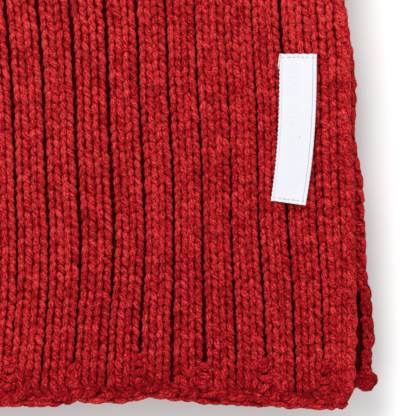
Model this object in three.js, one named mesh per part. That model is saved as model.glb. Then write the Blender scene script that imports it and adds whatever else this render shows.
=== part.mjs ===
// A knit scarf in a chunky 2x2 rib, folded in four and lying flat.
//
// The scarf was folded in half across its length, then in half again with both free ends on top. From the floor
// up there are two hidden layers, which meet in the lower fold, then the plain end, and the labelled end on top.
// The outer fold and the inner fold join them at the far side.
//
// Millimetres, +Z up. The ribs run along Y and the free ends lie towards -Y. The origin is the middle of the flat
// underside, on the floor. On the cloth, u is the distance from the right-hand selvedge and v the distance from
// the free end.
import * as THREE from "three";

// Driving dimensions
const FOLDED_LENGTH = 450; // hem line to the outer fold's crest
const LAYER = 6.6; // one layer of the thick rib, pressed by its own weight
const SEAM = 0.3; // clearance between neighbouring pieces
const GROOVE_DEPTH = 3.4;
const EDGE_STITCH = 4.4; // the single knit stitch outside the first groove, at either side
const HEM_BAND = 5.4; // the cast-on and bind-off edges, measured along the ribs
const PLAIN_END_SETBACK = 5; // how far the plain end stops short of the labelled one
const LOWER_FOLD_SETBACK = 7;
const CREASE_RADIUS = 0.6; // the hollow of a tight fold
const CORE_INSET = 3.4; // the hidden layers lie this far inside the top one

// The ribs from the right-hand selvedge: they lie closer together near the label
const RIB_PITCHES = [
  { ribs: 7, pitch: 11.6 },
  { ribs: 1, pitch: 12.4 },
  { ribs: 1, pitch: 13.6 },
  { ribs: 10, pitch: 12.4 },
];

// The relief of one rib, from the middle of a groove: at is a share of the pitch, drop a share of GROOVE_DEPTH
const RIB_PROFILE = [
  { at: 0, drop: 1 },
  { at: 0.06, drop: 0.55 },
  { at: 0.17, drop: 0.12 },
  { at: 0.5, drop: 0 },
  { at: 0.83, drop: 0.12 },
  { at: 0.94, drop: 0.55 },
];

// Heights of the layers, from the floor up
const CORE_TOP = 2 * LAYER;
const PLAIN_BOTTOM = CORE_TOP + SEAM;
const PLAIN_TOP = PLAIN_BOTTOM + LAYER;
const TOP_BOTTOM = PLAIN_TOP + SEAM;
const STACK_TOP = TOP_BOTTOM + LAYER;

const HEM_Y = -FOLDED_LENGTH / 2;
const OUTER_FOLD_RADIUS = STACK_TOP / 2;
const FAR_FOLD_Y = FOLDED_LENGTH / 2 - OUTER_FOLD_RADIUS;
const LOWER_FOLD_RADIUS = CORE_TOP / 2;
const LOWER_FOLD_Y = HEM_Y + LOWER_FOLD_SETBACK + LOWER_FOLD_RADIUS;

// Grooves between the ribs, as distances from the right-hand selvedge
const GROOVES = [EDGE_STITCH];
for (const { ribs, pitch } of RIB_PITCHES) {
  for (let k = 0; k < ribs; k++) GROOVES.push(GROOVES.at(-1) + pitch);
}
const CLOTH_WIDTH = GROOVES.at(-1) + EDGE_STITCH;
const HALF_WIDTH = CLOTH_WIDTH / 2;

// The hem line of the labelled end: how far it lies from its mean line, along +Y
const HEM_LINE = [
  { x: -122, dip: 0.8 },
  { x: -88, dip: -1.0 },
  { x: -52, dip: 0.7 },
  { x: -20, dip: -0.6 },
  { x: 11, dip: 1.4 },
  { x: 28, dip: 0.9 },
  { x: 38, dip: 2.6 },
  { x: 58, dip: 0.9 },
  { x: 76, dip: 0 },
  { x: 92, dip: -1.3 },
  { x: 116, dip: -2.0 },
];
const HEM_LINE_REACH = 40; // the hem's waviness dies out over this length

// The ribs don't run quite straight: they swing to the left above the label, and flare towards the hem
const SWING = { left: 6.7, right: 3.9, start: 40, length: 300, from: 110, over: 130 };
const FLARE = { depth: 3.8, length: 72, power: 1.15, centre: 52, spread: 22 };
const EDGE_REACH = 16; // the selvedge moves by itself over this width

// How far each selvedge draws in: side is 1 on the right and -1 on the left
const EDGE_BAYS = [
  { side: 1, depth: 1.6, at: 118, reach: 22 },
  { side: 1, depth: 2.4, at: 178, reach: 24 },
  { side: 1, depth: 1.8, at: 300, reach: 40 },
  { side: -1, depth: 1.7, at: 92, reach: 34 },
  { side: -1, depth: -1.4, at: 176, reach: 36 },
  { side: -1, depth: 2.1, at: 290, reach: 44 },
];
const CORNER = { pull: 5.5, plainPull: 1.5, along: 9, across: 14 }; // how far a free end's corners are rounded

// The plain end lies a little askew, so its selvedge peeps out on the right
const PLAIN_SHIFT = [
  { v: 0, shift: 7.4 },
  { v: 30, shift: 6.2 },
  { v: 62, shift: 3.6 },
  { v: 100, shift: 2.2 },
  { v: 130, shift: 2.8 },
  { v: 165, shift: 0.8 },
  { v: 240, shift: 0 },
];

// The pile is a little thinner towards its sides
const SLOPE = { share: 0.085, start: 108, length: 22 };

const LABEL = {
  length: 59.6,
  width: 14.9,
  thickness: 0.8,
  topX: 96.4, // the middle of its upper short side
  topV: 140.4,
  bend: 4, // its lower end lies this far to the left
  bendPower: 2.6,
};

const RED = 0xb3202a;

const clamp01 = (t) => Math.min(1, Math.max(0, t));
const ease = (t) => clamp01(t) ** 2 * (3 - 2 * clamp01(t));

// The value of a short table at x, eased between its rows
function tableAt(rows, key, column, x) {
  if (x <= rows[0][key]) return rows[0][column];
  for (let i = 1; i < rows.length; i++) {
    const [a, b] = [rows[i - 1], rows[i]];
    if (x <= b[key]) {
      return a[column] + (b[column] - a[column]) * ease((x - a[key]) / (b[key] - a[key]));
    }
  }
  return rows.at(-1)[column];
}

// The X of a point of the cloth
function clothX(u, v, pull = CORNER.pull) {
  const x = HALF_WIDTH - u;
  const swingSize = SWING.right + (SWING.left - SWING.right) * clamp01((SWING.from - x) / SWING.over);
  const swing = -swingSize * Math.sin(Math.PI * clamp01((v - SWING.start) / SWING.length)) ** 2;
  const flare = FLARE.depth * Math.tanh((x - FLARE.centre) / FLARE.spread);
  const flareHere = clamp01(1 - v / FLARE.length) ** FLARE.power;
  const inside = ease(u / EDGE_REACH) * ease((CLOTH_WIDTH - u) / EDGE_REACH);
  let edge = 0;
  for (const { side, depth, at, reach } of EDGE_BAYS) {
    const fromEdge = side > 0 ? u : CLOTH_WIDTH - u;
    edge -= side * depth * Math.exp(-(((v - at) / reach) ** 2)) * clamp01(1 - fromEdge / EDGE_REACH);
  }
  const atLeft = clamp01(1 - (CLOTH_WIDTH - u) / CORNER.across);
  const atRight = clamp01(1 - u / CORNER.across);
  const corner = pull * clamp01(1 - v / CORNER.along) ** 2 * (atLeft - atRight);
  return x + swing + flare * flareHere * inside + edge + corner;
}

// How far the hem line's waviness moves the cloth along +Y: in full at the edge band, then less and less
function hemDip(x, v) {
  return tableAt(HEM_LINE, "x", "dip", x) * clamp01(1 - (v - HEM_BAND - SEAM) / HEM_LINE_REACH);
}

// Gentle rise and fall of the top layer's surface
function surfaceWave(x, v) {
  return 0.45 * Math.sin(2 * Math.PI * (x / 97 + v / 260)) + 0.35 * Math.sin(2 * Math.PI * (v / 150 - x / 210));
}

// Every point of the pile is lowered in this way, so neighbours stay clear of each other
function slope([x, y, z]) {
  return [x, y, z * (1 - SLOPE.share * ease((Math.abs(x) - SLOPE.start) / SLOPE.length))];
}

const plainShift = (v) => tableAt(PLAIN_SHIFT, "v", "shift", v);

// Points across the cloth, with the share of the groove depth that each lies below the crowns.
// Past flatFrom the relief is left out, where another layer hides it.
function acrossPoints(flatFrom = Infinity) {
  const points = [
    { u: 1.3, drop: 0.3 },
    { u: EDGE_STITCH * 0.5, drop: 0.1 },
    { u: EDGE_STITCH * 0.85, drop: 0.5 },
  ];
  for (let k = 0; k + 1 < GROOVES.length; k++) {
    const pitch = GROOVES[k + 1] - GROOVES[k];
    const ribbed = GROOVES[k] < flatFrom;
    const profile = ribbed ? RIB_PROFILE : [{ at: 0.5, drop: 0 }];
    for (const { at, drop } of profile) points.push({ u: GROOVES[k] + at * pitch, drop });
  }
  if (flatFrom > CLOTH_WIDTH) points.push({ u: GROOVES.at(-1), drop: 1 });
  points.push({ u: CLOTH_WIDTH - EDGE_STITCH * 0.5, drop: 0.1 }, { u: CLOTH_WIDTH - 1.3, drop: 0.3 });
  return points;
}

// Points across a plain side of the cloth: one at each groove and one under each crown
function plainPoints() {
  const points = [1.8];
  for (let k = 0; k + 1 < GROOVES.length; k++) points.push(GROOVES[k], (GROOVES[k] + GROOVES[k + 1]) / 2);
  return [...points, GROOVES.at(-1), CLOTH_WIDTH - 1.8];
}

// Points across the inside of a fold
const insidePoints = () => Array.from({ length: 9 }, (_, i) => 1.8 + ((CLOTH_WIDTH - 3.6) * i) / 8);

const distance = ([ax, ay, az], [bx, by, bz]) => Math.hypot(ax - bx, ay - by, az - bz);

// Closes a ring whose first `turn` points run along one side and the others back along the other side. Triangles
// join the two sides, and each time the shorter diagonal is taken.
function capTriangles(ring, turn) {
  const triangles = [];
  let [i, j] = [0, ring.length - 1];
  while (i < turn - 1 || j > turn) {
    const lowerFirst =
      j === turn || (i < turn - 1 && distance(ring[i + 1], ring[j]) < distance(ring[i], ring[j - 1]));
    if (lowerFirst) {
      triangles.push([i, i + 1, j]);
      i++;
    } else {
      triangles.push([j - 1, j, i]);
      j--;
    }
  }
  return triangles;
}

// A closed solid through rings of equally many points
function ringSolid(rings, turn) {
  const count = rings[0].length;
  const index = [];
  for (let r = 0; r + 1 < rings.length; r++) {
    for (let i = 0; i < count; i++) {
      const [a, b] = [r * count + i, r * count + ((i + 1) % count)];
      index.push(a, b, b + count, a, b + count, a + count);
    }
  }
  const last = (rings.length - 1) * count;
  for (const [a, b, c] of capTriangles(rings[0], turn)) index.push(a, c, b);
  for (const [a, b, c] of capTriangles(rings.at(-1), turn)) index.push(last + a, last + b, last + c);
  const positions = rings.flat().map(slope).flat();
  const geometry = new THREE.BufferGeometry();
  geometry.setAttribute("position", new THREE.Float32BufferAttribute(positions, 3));
  geometry.setIndex(signedVolume(positions, index) < 0 ? index.reverse() : index);
  geometry.computeVertexNormals();
  return geometry;
}

// The sum over the triangles of a . (b x c) / 6
function signedVolume(positions, index) {
  const at = (i) => new THREE.Vector3(...positions.slice(3 * i, 3 * i + 3));
  let sum = 0;
  for (let i = 0; i < index.length; i += 3) {
    sum += at(index[i]).dot(at(index[i + 1]).cross(at(index[i + 2])));
  }
  return sum / 6;
}

// One flat stretch of cloth: a wall with the ribs raised in its upper points, over a plain underside. hemY is
// the Y of its free end, sections are distances from it, and shift moves the cloth sideways.
function flatStretch({ bottom, top, hemY, sections, relief, flatFrom, onTop = false, shift = () => 0, pull }) {
  const across = acrossPoints(flatFrom);
  const under = plainPoints();
  const middle = (bottom + top) / 2;
  const ring = (v) => {
    const place = (u, z) => {
      const x = clothX(u, v, pull) + shift(v);
      return [x, hemY + v + (onTop ? hemDip(x, v) : 0), z];
    };
    const crown = ({ u, drop }) => {
      const rise = onTop ? surfaceWave(clothX(u, v), v) : 0;
      return place(u, top + rise - drop * GROOVE_DEPTH * relief(v));
    };
    return [
      place(0.2, middle - LAYER * 0.2),
      ...under.map((u) => place(u, bottom)),
      place(CLOTH_WIDTH - 0.2, middle - LAYER * 0.2),
      place(CLOTH_WIDTH - 0.2, middle + LAYER * 0.12),
      ...across.toReversed().map(crown),
      place(0.2, middle + LAYER * 0.12),
    ];
  };
  return ringSolid(sections.map(ring), under.length + 2);
}

// A stretch that turns through half a circle about an axis along X. side is 1 at the far fold and -1 at the near
// one, and outer and inner are its radii.
function foldedStretch({ axisY, axisZ, outer, inner, steps, side, v, ribbed, inset = 0 }) {
  const across = ribbed ? acrossPoints() : insidePoints().map((u) => ({ u, drop: 0.2 }));
  const within = insidePoints();
  const middle = (outer + inner) / 2;
  const ring = (step) => {
    const angle = (Math.PI * step) / steps;
    const place = (u, radius) => [
      clothX(u, v) - inset * (1 - (2 * u) / CLOTH_WIDTH),
      axisY + side * radius * Math.sin(angle),
      axisZ + radius * Math.cos(angle),
    ];
    return [
      ...across.map(({ u, drop }) => place(u, outer - drop * GROOVE_DEPTH)),
      place(CLOTH_WIDTH - 0.2, middle),
      ...within.toReversed().map((u) => place(u, inner)),
      place(0.2, middle),
    ];
  };
  const rings = Array.from({ length: steps + 1 }, (_, step) => ring(step));
  return ringSolid(rings, across.length);
}

// The corded edge along a free end: an octagon carried from selvedge to selvedge
function edgeBand({ bottom, height, hemY, onTop = false, shift = 0, pull }) {
  const cut = 0.29; // the octagon's cut corners, a share of its side
  const outline = [
    [cut, 0],
    [1 - cut, 0],
    [1, cut],
    [1, 1 - cut],
    [1 - cut, 1],
    [cut, 1],
    [0, 1 - cut],
    [0, cut],
  ];
  const stations = 84;
  const ring = (step) => {
    const u = 0.2 + ((CLOTH_WIDTH - 0.4) * step) / stations;
    const size = step === 0 || step === stations ? 0.64 : 1; // it tapers at its two ends
    return outline.map(([along, up]) => {
      const v = HEM_BAND * (0.5 + (along - 0.5) * size);
      const x = clothX(u, v, pull) + shift;
      return [x, hemY + v + (onTop ? hemDip(x, 0) : 0), bottom + height * (0.5 + (up - 0.5) * size)];
    });
  };
  return ringSolid(Array.from({ length: stations + 1 }, (_, step) => ring(step)), 4);
}

// The two hidden layers: one solid with a flat underside, and a groove along each side where the layers meet
function coreSolid() {
  const sides = [
    { z: 0, in: 9 },
    { z: 0, in: 1.5 },
    { z: 0.3 * LAYER, in: 0 },
    { z: 0.7 * LAYER, in: 0 },
    { z: LAYER, in: 1.8 },
    { z: 1.3 * LAYER, in: 0.4 },
    { z: 1.7 * LAYER, in: 0.4 },
    { z: CORE_TOP, in: 1.7 },
    { z: CORE_TOP, in: 6 },
    { z: CORE_TOP, in: 12 },
  ];
  const sections = 14;
  const start = LOWER_FOLD_Y + SEAM;
  const ring = (step) => {
    const y = start + ((FAR_FOLD_Y - start) * step) / sections;
    const v = y - HEM_Y;
    const sway = 0.7 * Math.sin((2 * Math.PI * v) / 130) * (step > 0 && step < sections ? 1 : 0);
    const right = clothX(0, v) - CORE_INSET + sway;
    const left = clothX(CLOTH_WIDTH, v) + CORE_INSET + sway;
    return [
      ...sides.map((p) => [right - p.in, y, p.z]),
      ...sides.toReversed().map((p) => [left + p.in, y, p.z]),
    ];
  };
  return ringSolid(Array.from({ length: sections + 1 }, (_, step) => ring(step)), sides.length);
}

// The woven label: a thin plate that follows the crowns of the ribs and bends to the left at its lower end
function labelSolid() {
  const rows = 12;
  const half = LABEL.width / 2;
  const ring = (step) => {
    const share = step / rows;
    const x = LABEL.topX - LABEL.bend * share ** LABEL.bendPower;
    const v = LABEL.topV - LABEL.length * share;
    const turn = (0.8 * LABEL.bend * LABEL.bendPower * share ** (LABEL.bendPower - 1)) / LABEL.length;
    const place = (side, lift) => {
      const px = x + side * half;
      const pv = v - side * half * turn;
      return [px, HEM_Y + pv, STACK_TOP + surfaceWave(px, pv) + SEAM + lift];
    };
    return [
      ...[-1, 0, 1].map((side) => place(side, 0)),
      ...[1, 0, -1].map((side) => place(side, LABEL.thickness)),
    ];
  };
  return ringSolid(Array.from({ length: rows + 1 }, (_, step) => ring(step)), 3);
}

function piece(name, geometry, color = RED) {
  const material = new THREE.MeshStandardMaterial({ color, roughness: 0.92, metalness: 0 });
  const mesh = new THREE.Mesh(geometry, material);
  mesh.name = name;
  return mesh;
}

// The relief is shallow at a free end, where the edge holds the ribs open
const hemRelief = (v) => 0.35 + 0.65 * ease((v - HEM_BAND) / 12);

const startV = HEM_BAND + SEAM;
const farV = FAR_FOLD_Y - HEM_Y;
const plainHemY = HEM_Y + PLAIN_END_SETBACK;
const farFold = { axisY: FAR_FOLD_Y + SEAM, axisZ: OUTER_FOLD_RADIUS, side: 1, v: farV, steps: 8 };

const scarf = new THREE.Group();
scarf.add(
  piece(
    "labelled_end",
    flatStretch({
      bottom: TOP_BOTTOM,
      top: STACK_TOP,
      hemY: HEM_Y,
      sections: [startV, 10, 18, 32, 50, 72, 95, 118, 145, 175, 210, 250, 295, 345, 390, farV],
      relief: hemRelief,
      onTop: true,
    }),
  ),
  piece("cast_on_edge", edgeBand({ bottom: TOP_BOTTOM, height: LAYER * 0.85, hemY: HEM_Y, onTop: true })),
  piece("label", labelSolid(), 0xf2f2f4),
  piece(
    "plain_end",
    flatStretch({
      bottom: PLAIN_BOTTOM,
      top: PLAIN_TOP,
      hemY: plainHemY,
      sections: [startV, 10, 18, 32, 50, 72, 95, 118, 145, 175, 210, 250, 310, 370, farV - PLAIN_END_SETBACK],
      relief: hemRelief,
      flatFrom: GROOVES[3],
      shift: plainShift,
      pull: CORNER.plainPull,
    }),
  ),
  piece(
    "bind_off_edge",
    edgeBand({
      bottom: PLAIN_BOTTOM,
      height: LAYER * 0.85,
      hemY: plainHemY,
      shift: plainShift(0),
      pull: CORNER.plainPull,
    }),
  ),
  piece(
    "outer_fold",
    foldedStretch({ ...farFold, outer: OUTER_FOLD_RADIUS, inner: OUTER_FOLD_RADIUS - LAYER, ribbed: true }),
  ),
  piece(
    "inner_fold",
    foldedStretch({ ...farFold, outer: LAYER, inner: CREASE_RADIUS, ribbed: false, inset: CORE_INSET / 2 }),
  ),
  piece(
    "lower_fold",
    foldedStretch({
      axisY: LOWER_FOLD_Y,
      axisZ: LOWER_FOLD_RADIUS,
      side: -1,
      v: LOWER_FOLD_Y - HEM_Y,
      steps: 6,
      outer: LOWER_FOLD_RADIUS,
      inner: CREASE_RADIUS,
      ribbed: true,
      inset: CORE_INSET,
    }),
  ),
  piece("folded_core", coreSolid()),
);

export default scarf;
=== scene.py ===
"""A chunky 2x2 rib scarf, folded in four: yarn, selvedges, free ends, label and studio."""
import math

import bpy
import numpy as np
from bpy.props import FloatProperty, FloatVectorProperty, PointerProperty
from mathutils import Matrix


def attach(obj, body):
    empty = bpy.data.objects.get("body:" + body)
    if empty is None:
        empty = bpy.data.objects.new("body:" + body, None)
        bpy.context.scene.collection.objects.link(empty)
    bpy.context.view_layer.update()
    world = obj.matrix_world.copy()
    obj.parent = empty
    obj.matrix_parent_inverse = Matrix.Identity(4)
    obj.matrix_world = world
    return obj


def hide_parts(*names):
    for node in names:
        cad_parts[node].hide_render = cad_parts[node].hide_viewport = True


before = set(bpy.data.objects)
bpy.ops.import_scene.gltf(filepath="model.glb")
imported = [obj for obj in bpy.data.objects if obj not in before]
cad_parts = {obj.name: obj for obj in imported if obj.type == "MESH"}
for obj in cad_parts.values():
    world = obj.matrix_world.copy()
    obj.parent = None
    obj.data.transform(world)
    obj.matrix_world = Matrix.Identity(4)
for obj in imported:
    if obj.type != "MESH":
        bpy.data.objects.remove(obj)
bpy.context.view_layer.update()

bl_info = {
    "name": "Folded rib scarf",
    "version": (1, 0, 0),
    "blender": (4, 5, 0),
    "location": "3D View > Sidebar > Scarf",
    "description": "Knits a folded rib scarf in yarn around its solids",
    "category": "Add Mesh",
}

MM = 0.001

# Sizes in millimetres, as in the solids' source
FOLDED_LENGTH = 450.0
LAYER = 6.6
SEAM = 0.3
GROOVE_DEPTH = 3.4
EDGE_STITCH = 4.4
HEM_BAND = 5.4
PLAIN_END_SETBACK = 5.0
LOWER_FOLD_SETBACK = 7.0
CORE_INSET = 3.4
RIB_PITCHES = [(7, 11.6), (1, 12.4), (1, 13.6), (10, 12.4)]

CORE_TOP = 2 * LAYER
PLAIN_TOP = CORE_TOP + SEAM + LAYER
STACK_TOP = PLAIN_TOP + SEAM + LAYER
HEM_Y = -FOLDED_LENGTH / 2
OUTER_R = STACK_TOP / 2
FAR_Y = FOLDED_LENGTH / 2 - OUTER_R
FAR_V = FAR_Y - HEM_Y
LOWER_R = CORE_TOP / 2
LOWER_Y = HEM_Y + LOWER_FOLD_SETBACK + LOWER_R

GROOVES = EDGE_STITCH + np.cumsum([0.0] + [pitch for ribs, pitch in RIB_PITCHES for _ in range(ribs)])
WIDTH = GROOVES[-1] + EDGE_STITCH
HALF = WIDTH / 2

# The hem line: (x, how far it lies from its mean line along +Y)
HEM_LINE = [
    (-122, 0.8), (-88, -1.0), (-52, 0.7), (-20, -0.7), (-2, -0.4), (3, -0.2), (9, 1.3), (20, 0.6), (28, 0.7),
    (37, 2.9), (47, 1.5), (56, 0.7), (68, -0.2), (77, -0.5), (82, -1.5), (87, -0.1), (94, -1.6), (103, -1.6),
    (108, -1.8), (116, -1.2),
]
HEM_LINE_REACH = 40.0

SWING = {"left": 6.7, "right": 3.9, "start": 40.0, "length": 300.0, "origin": 110.0, "over": 130.0}
FLARE = {"depth": 3.8, "length": 72.0, "power": 1.15, "centre": 52.0, "spread": 22.0}
EDGE_REACH = 16.0
BAY_REACH = 7.0
# Where each selvedge draws in: (side, depth, at, reach)
EDGE_BAYS = [
    (1, 2.3, 118, 22), (1, 4.2, 176, 26), (1, 1.8, 300, 40), (1, 0.6, 66, 24), (1, 0.9, 14, 9),
    (-1, 1.7, 92, 34), (-1, -1.4, 176, 36), (-1, 2.1, 290, 44),
]
CORNER = {"pull": 5.3, "plain_pull": 0.4, "along": 13.0, "across": 14.0}
# How far the top layer's ribs lie beside their even course: (v, shift) and (x, share of it)
RIB_DRIFT = [(0, 0.2), (30, 0.6), (50, 1.0), (75, 1.1), (100, 1.5), (122, 1.9), (144, 2.1), (172, 1.5), (235, 0.0)]
DRIFT_SHARE = [(-112, 0.0), (-50, 1.0), (66, 1.0), (84, 0.4), (104, 0.4), (114, 1.0), (119, 0.3), (122, 0.0)]
NUDGE = {"size": 1.3, "at": 2.0, "reach": 10.0, "length": 70.0}
# How far the plain end's right selvedge curls up beside the top layer: (v, rise)
PLAIN_CURL = [(0, 0.6), (18, 0.0), (36, 0.0), (58, 2.6), (190, 2.8), (260, 0.0)]
CURL_REACH = 6.5
# How far the plain end lies askew: (v, shift)
PLAIN_SHIFT = [
    (0, 6.5), (10, 7.3), (22, 8.1), (34, 7.1), (50, 5.0), (78, 4.6), (102, 2.8), (122, 4.6), (134, 3.5), (146, 1.2),
    (158, -0.4), (240, 0.0),
]
# Its right corner bulges at v = "at", and its hem there lies off its line: (u, distance along +Y)
PLAIN_BULGE = {"size": 3.6, "at": 3.6, "reach": 2.3, "width": 9.0}
PLAIN_DIP = [(0, 2.2), (3, -0.7), (7, 1.7), (14, 0.0)]
PLAIN_DIP_REACH = 12.0
SLOPE = {"share": 0.085, "start": 108.0, "length": 22.0}
# Where the ribs close up: (x, v, reach across, reach along, how far the outer legs move outwards)
CLOSED = [
    (109, 160, 12, 54, 0.56), (91, 170, 7, 50, -0.35), (70, 160, 12, 60, 0.42), (112, 90, 12, 70, 0.42),
    (-22, 36, 28, 42, 0.42), (20, 24, 7, 18, 0.5), (72, 12, 7, 10, 0.4),
]
WIDER = 0.22
# Where painted light makes the yarn paler: (x, v, reach across, reach along, change of tone)
PAINTED_LIGHT_PATCHES = [(106, 166, 26, 34, 0.45), (-10, 130, 60, 60, 0.3), (-22, 36, 28, 42, 0.2)]

LABEL = {
    "length": 59.6, "width": 14.9, "thickness": 0.5, "taper": 0.07, "top_x": 96.4, "top_v": 140.4, "bend": 4.0, "power": 2.6,
}

# Sewing thread: rows of stitches across the label as shares of its length, and its loose end from the corner
SEWING = {
    "rows": (0.022, 0.976), "stitches": 7, "length": 1.5, "half_width": 0.2,
    "loose": [(0.25, -0.3, 0.1), (-0.05, -1.6, 0.35), (-0.2, -3.2, 0.3), (-0.45, -4.8, -0.1), (-0.3, -6.2, -0.6)],
}

# The yarn
ROW = 3.55  # one row of stitches
FIRST_ROW = 7.6
LEG_LENGTH = 5.9
LEG_HALF_WIDTH = 1.36
LEG_HALF_HEIGHT = 1.34
OUTER_TILT = 0.45  # of the outer legs of a rib, in radians
LINK = 6.5  # one link of the chain along each selvedge
DETAIL_V = 172.0  # up to here the stitches have more faces

# Strands of one link of a selvedge: (u, distance along the selvedge, lift over the crowns), and half width
LINK_STRANDS = {
    "arch": ([(4.5, 0.2, -2.2), (3.9, 1.9, -1.2), (2.6, 2.4, -0.9), (1.5, 0.8, -1.4), (1.2, -1.5, -2.0),
              (1.6, -3.8, -3.1)], 1.2),
    "inner": ([(3.9, 1.1, -2.3), (3.6, -0.7, -1.3), (3.1, -2.6, -1.3), (2.4, -4.8, -2.6)], 1.2),
    "side": ([(1.8, 3.4, -3.8), (1.0, 1.4, -3.2), (0.9, -1.0, -3.3), (1.7, -3.6, -4.1)], 1.15),
    "lower": ([(1.6, 0.8, -5.3), (1.0, -1.2, -4.9), (1.0, -3.6, -4.9), (1.6, -6.0, -5.4)], 1.05),
    "cross": ([(3.3, 1.5, -2.5), (2.7, 0.2, -1.9), (2.2, -1.5, -1.9), (1.8, -3.2, -2.8)], 1.0),
}

# Rows of loops at a free end: (v, lift, length, slant in radians, half width, lean
# towards the free end, step, and how far the ends of each loop tuck in)
BAND_ROWS = [
    (5.4, -0.9, 4.6, 0.60, 1.55, 0.0, 3.3, 0.0),
    (3.3, -1.4, 5.0, -0.35, 1.65, 0.3, 3.4, 0.4),
    (1.1, -2.5, 7.4, 0.10, 1.35, 0.8, 3.7, 1.3),
    (0.8, -4.6, 7.0, -0.10, 1.30, 1.4, 3.7, 1.3),
]

# Purl bumps that rise in every other groove towards a free end: (v, length, lift, share of those grooves)
PURL_BUMPS = [(8.0, 4.8, -0.5, 1.0), (11.4, 4.8, -0.3, 1.0), (14.8, 4.7, -0.5, 1.0), (18.0, 4.0, -1.5, 0.6)]


def ease(t):
    """Smooth step from 0 to 1."""
    t = np.clip(t, 0.0, 1.0)
    return t * t * (3 - 2 * t)


def table_at(rows, x):
    """The value of a short table at x, eased between its rows."""
    keys, values = np.array(rows, float).T
    i = np.clip(np.searchsorted(keys, x) - 1, 0, len(keys) - 2)
    return values[i] + (values[i + 1] - values[i]) * ease((x - keys[i]) / (keys[i + 1] - keys[i]))


def cloth_x(u, v, pull=CORNER["pull"]):
    """The X of the cloth at u from the right selvedge and v from the hem: straight, plus swing, flare, bays
    and rounded corners."""
    x = HALF - u
    size = SWING["right"] + (SWING["left"] - SWING["right"]) * np.clip((SWING["origin"] - x) / SWING["over"], 0, 1)
    swing = -size * np.sin(math.pi * np.clip((v - SWING["start"]) / SWING["length"], 0, 1)) ** 2
    flare = FLARE["depth"] * np.tanh((x - FLARE["centre"]) / FLARE["spread"])
    flare = flare * np.clip(1 - v / FLARE["length"], 0, 1) ** FLARE["power"]
    flare = flare * ease(u / EDGE_REACH) * ease((WIDTH - u) / EDGE_REACH)
    edge = 0.0
    for side, depth, at, reach in EDGE_BAYS:
        from_edge = u if side > 0 else WIDTH - u
        edge = edge - side * depth * np.exp(-(((v - at) / reach) ** 2)) * np.clip(1 - from_edge / BAY_REACH, 0, 1)
    at_left = np.clip(1 - (WIDTH - u) / CORNER["across"], 0, 1)
    at_right = np.clip(1 - u / CORNER["across"], 0, 1)
    corner = pull * np.clip(1 - v / CORNER["along"], 0, 1) ** 2 * (at_left - at_right)
    return x + swing + flare + edge + corner


def drift(x, v):
    """How far the ribs lie to the right of their even course: the product of two tables, and a bell-shaped
    nudge of one rib that dies out away from the hem."""
    nudge = NUDGE["size"] * np.exp(-(((x - NUDGE["at"]) / NUDGE["reach"]) ** 2))
    return table_at(RIB_DRIFT, v) * table_at(DRIFT_SHARE, x) + nudge * np.clip(1 - v / NUDGE["length"], 0, 1)


def hem_dip(x, v):
    """The hem line's waviness, which dies out away from the hem."""
    return table_at(HEM_LINE, x) * np.clip(1 - (v - HEM_BAND - SEAM) / HEM_LINE_REACH, 0, 1)


def bells(rows, u, v):
    """A sum of bell shapes, each over its own place on the cloth: size * exp(-(dx / across)^2 - (dv / along)^2)."""
    total = 0.0
    for x, at, across, along, size in rows:
        total = total + size * np.exp(-(((HALF - u - x) / across) ** 2) - ((v - at) / along) ** 2)
    return total


def surface_wave(x, v):
    """Gentle rise and fall of the top layer: two crossing sine waves."""
    first = 0.45 * np.sin(2 * math.pi * (x / 97 + v / 260))
    return first + 0.35 * np.sin(2 * math.pi * (v / 150 - x / 210))


def slope(points):
    """The pile is a little thinner towards its sides."""
    out = points.copy()
    fall = SLOPE["share"] * ease((np.abs(points[..., 0]) - SLOPE["start"]) / SLOPE["length"])
    out[..., 2] = points[..., 2] * (1 - fall)
    return out


def stacked(x, y, z):
    """X, Y and Z arrays, of shapes that go together, as one array of points."""
    return np.stack(np.broadcast_arrays(x, y, z), axis=-1)


def curve(points, count):
    """Points on smooth curves through rows of control points, as Catmull-Rom splines: the tangent at each
    control point is half the step between its neighbours."""
    before = 2 * points[..., :1, :] - points[..., 1:2, :]
    after = 2 * points[..., -1:, :] - points[..., -2:-1, :]
    padded = np.concatenate([before, points, after], axis=-2)
    t = np.linspace(0, points.shape[-2] - 1, count)
    i = np.minimum(t.astype(int), points.shape[-2] - 2)
    f = (t - i)[:, None]
    a, b, c, d = (padded[..., i + n, :] for n in range(4))
    return b + 0.5 * f * (c - a + f * (2 * a - 5 * b + 4 * c - d + f * (3 * (b - c) + d - a)))


# Each sheet of cloth is a function of u and v that gives the point on its crowns and the way out of the cloth.
def top_sheet(u, v):
    """The labelled end: flat up to FAR_V, then half a circle down to the floor."""
    turn = np.clip((v - FAR_V) / OUTER_R, 0, math.pi)
    flat_v = np.minimum(v, FAR_V)
    x = cloth_x(u, flat_v)
    x = x + drift(x, flat_v)
    out = stacked(0 * x, np.sin(turn), np.cos(turn))
    wave = surface_wave(x, flat_v) * (1 - turn / math.pi)
    centre = stacked(x, HEM_Y + flat_v + hem_dip(x, flat_v), OUTER_R)
    return centre + out * (OUTER_R + wave)[..., None], out


def plain_sheet(u, v):
    """The plain end: flat, shifted sideways, with a right selvedge that curls up and a corner that bulges."""
    bulge = PLAIN_BULGE["size"] * np.exp(-(((v - PLAIN_BULGE["at"]) / PLAIN_BULGE["reach"]) ** 2))
    bulge = bulge * np.clip(1 - u / PLAIN_BULGE["width"], 0, 1)
    x = cloth_x(u, v, CORNER["plain_pull"]) + table_at(PLAIN_SHIFT, v) + bulge
    dip = table_at(PLAIN_DIP, u) * np.clip(1 - v / PLAIN_DIP_REACH, 0, 1)
    curl = table_at(PLAIN_CURL, v) * ease(1 - u / CURL_REACH)
    return stacked(x, HEM_Y + PLAIN_END_SETBACK + v + dip, PLAIN_TOP + curl), stacked(0 * x, 0, 1)


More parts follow.
